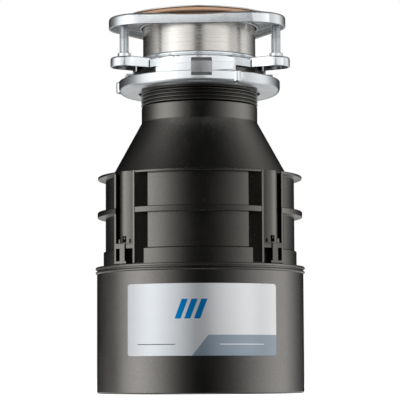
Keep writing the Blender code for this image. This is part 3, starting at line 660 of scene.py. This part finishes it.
EARS = (92.5, 212.5, 332.5)
TABS = (272.7, 392.7, 512.7)
TAB_HALF_ANGLE = 7.1
LUGS = (178.5, 298.5, 58.5)
LOBES = (87.2, 207.2, 327.2)
SCREW_CIRCLE = 67.2
RING_RADIUS = 52.0       # the eared ring between its ears
EAR_RADIUS = 10.6
RAMP_RADIUS = 57.5
RAMP_START, RAMP_END = -33.8, 27.7       # degrees from the front, for the first ramp
SHEET = 1.6


def make_cushion():
    pitch, foot = 2.7, 222.3
    ridges = []
    for number in range(4):
        z = foot + number * pitch
        ridges += [(43.0, z, 0.25), (45.5, z + 0.65, 0.55), (45.5, z + 1.7, 0.55)]
    outline = rounded([(39.4, 213.0), (42.1, 213.0), (42.1, foot)] + ridges
                      + [(43.6, 233.2), (44.2, 234.4), (57.8, 234.4), (57.8, 241.4, 0.8),
                         (49.6, 241.4), (49.6, 249.9, 0.8), (44.5, 249.9, 0.3), (44.5, 246.4),
                         (41.4, 246.4, 1.2), (39.4, 244.6, 1.0)], 3)
    cushion = finish_mesh("cushion_rubber", turned(outline))
    dress(cushion, "rubber", "housing", "cushion_mount")

    outline = rounded([(39.0, 243.0), (39.0, 237.6, 2.0), (14.0, 231.5, 1.0), (14.0, 233.3, 0.6),
                       (37.4, 239.2, 1.5), (37.4, 243.0)])
    baffle = finish_mesh("baffle_rubber", turned(outline, 96))
    steps = [("cut", block((-35.0, -0.6, 225.0), (35.0, 0.6, 250.0), number * 45.0 + 22.5))
             for number in range(4)]
    dress(combined(baffle, steps), "rubber", "housing", "splash_baffle")


def make_lower_ring():
    band = rounded([(47.2, 232.4, 0.6), (63.0, 232.4, 5.0), (63.0, 242.5, 0.7), (61.3, 242.5, 0.5),
                    (61.3, 234.0, 3.4), (47.2, 234.0, 0.6)], 8)
    ring = finish_mesh("locking_band", turned(band, 240))

    def tab_section(angle):
        return rounded([(61.8, 239.0), (63.4, 238.3, 0.8), (64.8, 240.2, 1.2), (64.6, 249.2, 0.8),
                        (62.9, 252.1, 0.6), (54.0, 252.1), (54.0, 250.5), (61.4, 250.5, 0.8),
                        (62.7, 243.6, 1.5), (61.8, 241.6)], 3)

    lug = rounded([(0.0, 234.0), (3.0, 234.0, 1.3), (3.0, 243.1, 1.3), (0.0, 243.1)])
    steps = []
    for angle in LUGS:
        steps += [("unite", moved(turned(lug, 32), *polar(62.2, angle))),
                  ("cut", cylinder(1.6, 230.0, 250.0, *polar(62.3, angle), 24))]
    combined(ring, steps, 30.0)
    softened(ring, 0.25, 2, 40.0)
    dress(ring, "zinc", "locking_ring", "lower_mounting_ring")
    for number, angle in enumerate(TABS, 1):
        across = spread(angle - TAB_HALF_ANGLE, angle + TAB_HALF_ANGLE, 14)
        tab = finish_mesh(f"locking_tab_{number}", swept(tab_section, across, closed=False))
        dress(softened(tab, 0.3, 2, 40.0), "steel", "locking_ring")


def ear_reach(offset):
    """Outer radius of the three-eared ring, offset degrees from an ear's centre line."""
    offset = abs(offset)
    if offset < math.degrees(math.atan(EAR_RADIUS / SCREW_CIRCLE)):
        across = SCREW_CIRCLE * math.sin(math.radians(offset))
        along = SCREW_CIRCLE * math.cos(math.radians(offset))
        return along + math.sqrt(EAR_RADIUS ** 2 - across ** 2)
    if offset > 40.0:
        return RING_RADIUS
    side = EAR_RADIUS / math.sin(math.radians(offset))
    gap = 0.9                                   # how softly the ear runs into the ring
    return max(RING_RADIUS,
               (RING_RADIUS + side + math.sqrt((RING_RADIUS - side) ** 2 + gap ** 2)) / 2)


def skirt_foot(angle):
    """Height of the eared ring's lower edge, which steps up past the ramp."""
    place = (angle - FRONT + 36.5) % 120.0
    if place < 50.0:
        return 242.0 + 1.2 * place / 50.0
    if place < 70.0:
        return 243.2 + 1.3 * (place - 50.0) / 20.0
    return 248.8


def make_upper_ring():
    by_the_ear = (7.7, 8.4, 8.96, 10.0, 11.0, 11.76, 12.6)
    extras = [sign * offset for sign in (-1, 1) for offset in by_the_ear]
    extras += [20.9, 21.1, 70.9, 71.1, 90.9, 91.1]
    angles = sorted({k + 0.5 for k in range(360)}
                    | {round((ear + extra) % 360, 3) for ear in EARS for extra in extras})

    def section(angle):
        nearest = min(abs((angle - ear + 180.0) % 360.0 - 180.0) for ear in EARS)
        reach = ear_reach(nearest)
        foot = skirt_foot(angle)
        return rounded([(44.8, 260.3, 0.3), (46.9, 260.3, 1.2), (47.2, 258.2, 0.8), (46.2, 257.1, 0.3),
                        (47.6, 256.5, 0.6), (reach, 256.5, 2.0), (reach, foot, 0.4),
                        (reach - SHEET, foot, 0.4), (reach - SHEET, 254.6, 1.0),
                        (44.8, 254.3)], 3)

    ring = finish_mesh("eared_ring", swept(section, angles))

    def ramp_section(angle):
        place = (angle - FRONT + 40.0) % 120.0 - 40.0
        top = 250.1 - 0.06 * max(0.0, 8.4 - place)
        foot = 242.5 + 0.01 * (place - RAMP_START) + 0.09 * max(0.0, place - 12.0)
        return rounded([(51.0, top - SHEET), (RAMP_RADIUS - SHEET, top - SHEET, 0.5),
                        (RAMP_RADIUS - SHEET, foot, 0.3), (RAMP_RADIUS, foot, 0.3),
                        (RAMP_RADIUS, top, 0.2), (51.0, top)], 4)

    steps = []
    for turn in (0.0, 120.0, 240.0):
        span = spread(FRONT + RAMP_START + turn, FRONT + RAMP_END + turn, 48)
        steps.append(("unite", swept(ramp_section, span, closed=False)))
    steps += [("cut", cylinder(4.15, 250.0, 264.0, *polar(SCREW_CIRCLE, angle), 32))
              for angle in EARS]
    # a fold line each side of an ear, and six dimples round the collar
    steps += [("cut", cylinder(0.7, 240.0, 256.0, *polar(52.2, angle + side), 12))
              for angle in EARS for side in (-11.9, 11.9)]
    dimple = rounded([(0.0, 256.9), (1.5, 257.2, 0.8), (1.5, 259.6, 0.9), (0.0, 260.1)])
    steps += [("unite", moved(turned(dimple, 24), *polar(46.3, angle)))
              for angle in range(3, 363, 60)]
    combined(ring, steps, 30.0)
    dress(ring, "zinc", "housing", "upper_mounting_ring")
    outline = rounded([(4.1, 256.8), (5.1, 256.8, 0.3), (5.1, 259.8, 1.0), (4.1, 259.8, 0.2)])
    for number, angle in enumerate(EARS, 1):
        collar = finish_mesh(f"threaded_collar_{number}",
                             moved(turned(outline, SMALL), *polar(SCREW_CIRCLE, angle)))
        dress(collar, "zinc", "housing", f"screw_collar_{number}")


def make_sink_flange():
    outline = rounded([(43.0, 246.8), (44.0, 246.8, 0.3), (44.0, 291.1, 1.0), (57.6, 291.8, 0.25),
                       (57.6, 292.7, 0.3), (44.2, 292.7, 2.0), (43.0, 290.1)])
    flange = finish_mesh("sink_flange_drawn", turned(outline, 240))
    dress(flange, "stainless", "housing", "sink_flange")

    def round_section(angle):
        turns = [math.tau * k / 12 for k in range(12)]
        return [(45.6 + 1.1 * math.cos(t), 251.5 + 1.1 * math.sin(t)) for t in turns]

    around = spread(98.0, 442.0, 160)
    ring = finish_mesh("snap_ring_wire", swept(round_section, around, closed=False))
    dress(ring, "steel", "housing", "snap_ring")


def backup_reach(angle):
    """Outer radius of the three-lobed backup flange."""
    centre, radius = 48.4, 26.4
    offset = min(abs((angle - lobe + 180.0) % 360.0 - 180.0) for lobe in LOBES)
    limit = math.degrees(math.atan2(radius * math.sin(math.radians(60)), centre + radius * 0.5))
    if offset > limit:
        return (centre * 0.5 + radius) / math.cos(math.radians(60.0 - offset))
    across = centre * math.sin(math.radians(offset))
    return centre * math.cos(math.radians(offset)) + math.sqrt(radius ** 2 - across ** 2)


def make_clamp():
    def section(angle):
        reach = backup_reach(angle)
        return rounded([(45.2, 283.9, 0.5), (46.8, 283.9, 0.5), (47.0, 286.2, 0.6),
                        (reach - 1.7, 286.2, 0.9), (reach - 1.7, 280.3, 0.6), (reach, 280.3, 0.6),
                        (reach, 289.1, 2.2), (45.2, 289.1, 1.2)], 4)

    flange = finish_mesh("backup_flange_pressed", swept(section, spread(0.0, 359.0, 359)))
    dress(flange, "zinc", "clamp", "backup_flange")
    outline = rounded([(45.2, 289.3, 0.3), (56.6, 289.3, 0.4), (56.6, 291.4, 0.3),
                       (45.2, 291.4, 0.3)])
    gasket = finish_mesh("gasket_fibre", turned(outline))
    dress(gasket, "fibre", "clamp", "fibre_gasket")


def make_screws():
    """Threaded mounting screws with slotted heads at the bottom."""
    pitch, major, depth, around, rows = 25.4 / 18, 3.8, 0.95, 36, 12
    low, high = 253.0, 285.4
    count = int((high - low) / pitch * rows)
    for number, angle in enumerate(EARS, 1):
        bm = bmesh.new()
        rings = []
        for row in range(count + 1):
            z = low + (high - low) * row / count
            ring = []
            for k in range(around):
                phase = (z / pitch - k / around) % 1.0
                r = major - depth * max(0.0, abs(2.0 * phase - 1.0) * 1.25 - 0.25)
                fade = min(1.0, (high + 0.4 - z) / 1.2)
                theta = math.tau * k / around
                r *= 0.75 + 0.25 * fade
                ring.append(bm.verts.new((r * math.cos(theta), r * math.sin(theta), z)))
            rings.append(ring)
        for one, two in zip(rings, rings[1:]):
            for k in range(around):
                m = (k + 1) % around
                bm.faces.new((one[k], one[m], two[m], two[k]))
        bm.faces.new(list(reversed(rings[0])))
        bm.faces.new(rings[-1])
        rod = finish_mesh(f"screw_thread_{number}", moved(bm, *polar(SCREW_CIRCLE, angle)), 30.0)
        dress(rod, "zinc", f"screw_{number}", f"mounting_screw_{number}")
        outline = rounded([(0.0, 250.2), (5.2, 250.2, 1.0), (5.2, 253.05, 0.3), (0.0, 253.05)])
        head = finish_mesh(f"screw_head_{number}", turned(outline, SMALL))
        combined(head, [("cut", block((-6.5, -0.6, 249.0), (6.5, 0.6, 251.4), 20.0))])
        x, y = polar(SCREW_CIRCLE, angle)
        head.data.transform(Matrix.Translation((x * MM, y * MM, 0.0)))
        dress(head, "zinc", f"screw_{number}")


# ---------------------------------------------------------------- build

make_can()
make_bell()
make_bolts()
make_container()
make_label()
make_cushion()
make_lower_ring()
make_upper_ring()
make_sink_flange()
make_clamp()
make_screws()

slots = {row["node"]: row["material_slot"] for row in frame["record"]["subparts"]}
for name, node in frame["nodes"].items():
    node.data.materials.clear()
    node.data.materials.append(LOOKS[slots[name]])
    if not node.hide_render:
        softened(node, 0.25, 2, 40.0)

# ---------------------------------------------------------------- floor, light and camera

scene = bpy.context.scene
scene.view_settings.view_transform = "Standard"
scene.view_settings.look = "None"

floor_bm = bmesh.new()
bmesh.ops.create_grid(floor_bm, x_segments=1, y_segments=1, size=6000.0)
floor = finish_mesh("studio_floor", moved(floor_bm, z=-0.2))
floor_look = Look("studio_floor", (0.9, 0.9, 0.9), 0.0, 0.9, Emission_Strength=0.93,
                  Emission_Color=(1.0, 1.0, 1.0, 1.0))
floor.data.materials.append(floor_look.material)
floor.visible_glossy = False
floor.visible_diffuse = False

TENT_LIGHT = 1.28
LOW_LIGHT = 0.45
world = bpy.data.worlds.new("studio")
scene.world = world
world.use_nodes = True
tree = world.node_tree
dim = tree.nodes["Background"]
dim.inputs["Color"].default_value = (1.0, 1.0, 1.0, 1.0)
dim.inputs["Strength"].default_value = TENT_LIGHT


def world_node(kind, *values, **settings):
    """A node of the world's tree whose inputs, in order, are set or linked to values."""
    made = tree.nodes.new(kind)
    for key, value in settings.items():
        setattr(made, key, value)
    for socket, value in zip(made.inputs, values):
        plug(tree.links, socket, value)
    return made


def ramp_of(value, stops):
    """Smooth steps of level along value, from 0 to 1."""
    made = world_node("ShaderNodeValToRGB", value)
    made.color_ramp.interpolation = "B_SPLINE"
    elements = made.color_ramp.elements
    for number, (position, level) in enumerate(stops):
        element = elements[number] if number < 2 else elements.new(position)
        element.position, element.color = position, (level, level, level, 1.0)
    return made.outputs["Color"]


def maths(operation, *values):
    return world_node("ShaderNodeMath", *values, operation=operation).outputs[0]


def remap(value, low, high):
    """0 at low, 1 at high, smooth between."""
    made = world_node("ShaderNodeMapRange", value, low, high, 0.0, 1.0)
    made.interpolation_type = "SMOOTHSTEP"
    return made.outputs["Result"]


# the tent round the object: bright on the left and right, dark towards the camera and behind
sky = world_node("ShaderNodeSeparateXYZ", tree.nodes.new("ShaderNodeTexCoord").outputs["Generated"])
to_the_right = maths("ARCTAN2", sky.outputs["X"], maths("MULTIPLY", sky.outputs["Y"], -1.0))
round_it = maths("ADD", maths("DIVIDE", to_the_right, math.tau), 0.5)
# each stop is degrees to the right of the camera, then how bright the tent is there
TENT = ((-180, 0.0), (-150, 0.0), (-125, 0.04), (-105, 0.2), (-90, 0.69), (-72, 1.0), (-55, 0.75),
        (-40, 0.38), (-24, 0.09), (-10, 0.0), (12, 0.0), (30, 0.05), (48, 0.2), (66, 0.45),
        (85, 0.64), (105, 0.84), (120, 0.42), (140, 0.06), (160, 0.0), (180, 0.0))
tent = ramp_of(round_it, [(angle / 360.0 + 0.5, level) for angle, level in TENT])
height_of = maths("ABSOLUTE", sky.outputs["Z"])
tent = maths("MULTIPLY", tent, maths("SUBTRACT", 1.0, remap(height_of, 0.3, 1.0)))
depth_of = maths("MULTIPLY", sky.outputs["Z"], -1.0)
below = maths("MULTIPLY", remap(depth_of, 0.02, 0.14), remap(sky.outputs["Y"], -0.1, 0.6))
steep = remap(depth_of, 0.86, 1.0)
low_light = maths("MULTIPLY", maths("MAXIMUM", below, steep), LOW_LIGHT)
tent = maths("ADD", maths("MAXIMUM", tent, low_light), 0.002)
tree.links.new(tent, dim.inputs["Color"])
bright = tree.nodes.new("ShaderNodeBackground")
bright.inputs["Color"].default_value = (1.0, 1.0, 1.0, 1.0)
bright.inputs["Strength"].default_value = 1.0
mix = tree.nodes.new("ShaderNodeMixShader")
path = tree.nodes.new("ShaderNodeLightPath")
tree.links.new(path.outputs["Is Camera Ray"], mix.inputs[0])
tree.links.new(dim.outputs[0], mix.inputs[1])
tree.links.new(bright.outputs[0], mix.inputs[2])
tree.links.new(mix.outputs[0], tree.nodes["World Output"].inputs[0])


def softbox(name, azimuth, elevation, distance, width, height, power, glossy=True, only=None):
    """An area light, azimuth degrees to the right of the camera, aimed at the object's middle.

    Where only is a collection, just its pieces receive the light.
    """
    data = bpy.data.lights.new(name, "AREA")
    data.shape = "RECTANGLE"
    data.size, data.size_y, data.energy = width, height, power
    lamp = bpy.data.objects.new(name, data)
    scene.collection.objects.link(lamp)
    a, e = math.radians(azimuth), math.radians(elevation)
    target = Vector((0, 0, 0.15))
    away = Vector((math.sin(a) * math.cos(e), -math.cos(a) * math.cos(e), math.sin(e)))
    lamp.location = target + distance * away
    lamp.rotation_euler = (target - lamp.location).to_track_quat("-Z", "Y").to_euler()
    lamp.visible_glossy = glossy
    lamp.visible_camera = False
    if only:
        lamp.light_linking.receiver_collection = only


def made_of(name, *slots):
    """A collection of the pieces finished in any of these slots."""
    group = bpy.data.collections.new(name)
    finishes = [LOOKS[slot] for slot in slots]
    for obj in scene.objects:
        if obj.type == "MESH" and obj.data.materials and obj.data.materials[0] in finishes:
            group.objects.link(obj)
    return group


# pale cards round the camera show only in the bright metals
bright_metals = made_of("bright_metals", "zinc", "stainless", "label_foil", "steel")
softbox("front_card", 0.0, 15.0, 1.1, 0.36, 1.15, 0.35, only=made_of("plated", "zinc"))
softbox("left_card", -35.0, 15.0, 1.1, 1.1, 1.15, 3.4, only=bright_metals)
softbox("right_card", 35.0, 15.0, 1.1, 1.1, 1.15, 3.2, only=bright_metals)
softbox("front_fill", 0.0, 25.0, 2.2, 1.6, 1.2, 40.0, glossy=False)
softbox("top_fill", 180.0, 70.0, 1.6, 1.2, 1.2, 5.0, glossy=False)

VIEW_TURN = 1.2          # the object stands turned by this much, in degrees
CAMERA_ROLL = -0.26
CAMERA_DISTANCE, CAMERA_HEIGHT, CAMERA_ASIDE = 1.490, 0.016, 0.0001
CAMERA_TILT = 5.1339     # degrees above level
CAMERA_LENS, SENSOR_WIDTH = 172.8, 36.0
camera_data = bpy.data.cameras.new("camera")
camera_data.sensor_width = SENSOR_WIDTH
camera_data.lens = CAMERA_LENS
camera = bpy.data.objects.new("camera", camera_data)
scene.collection.objects.link(camera)
turn = math.radians(VIEW_TURN)
right = Vector((math.cos(turn), math.sin(turn), 0.0))
camera.location = right * CAMERA_ASIDE + Vector((math.sin(turn) * CAMERA_DISTANCE,
                                                 -math.cos(turn) * CAMERA_DISTANCE,
                                                 CAMERA_HEIGHT))
camera.rotation_euler = (Matrix.Rotation(turn, 3, "Z")
                         @ Matrix.Rotation(math.radians(90.0 + CAMERA_TILT), 3, "X")
                         @ Matrix.Rotation(math.radians(CAMERA_ROLL), 3, "Z")).to_euler()
scene.camera = camera
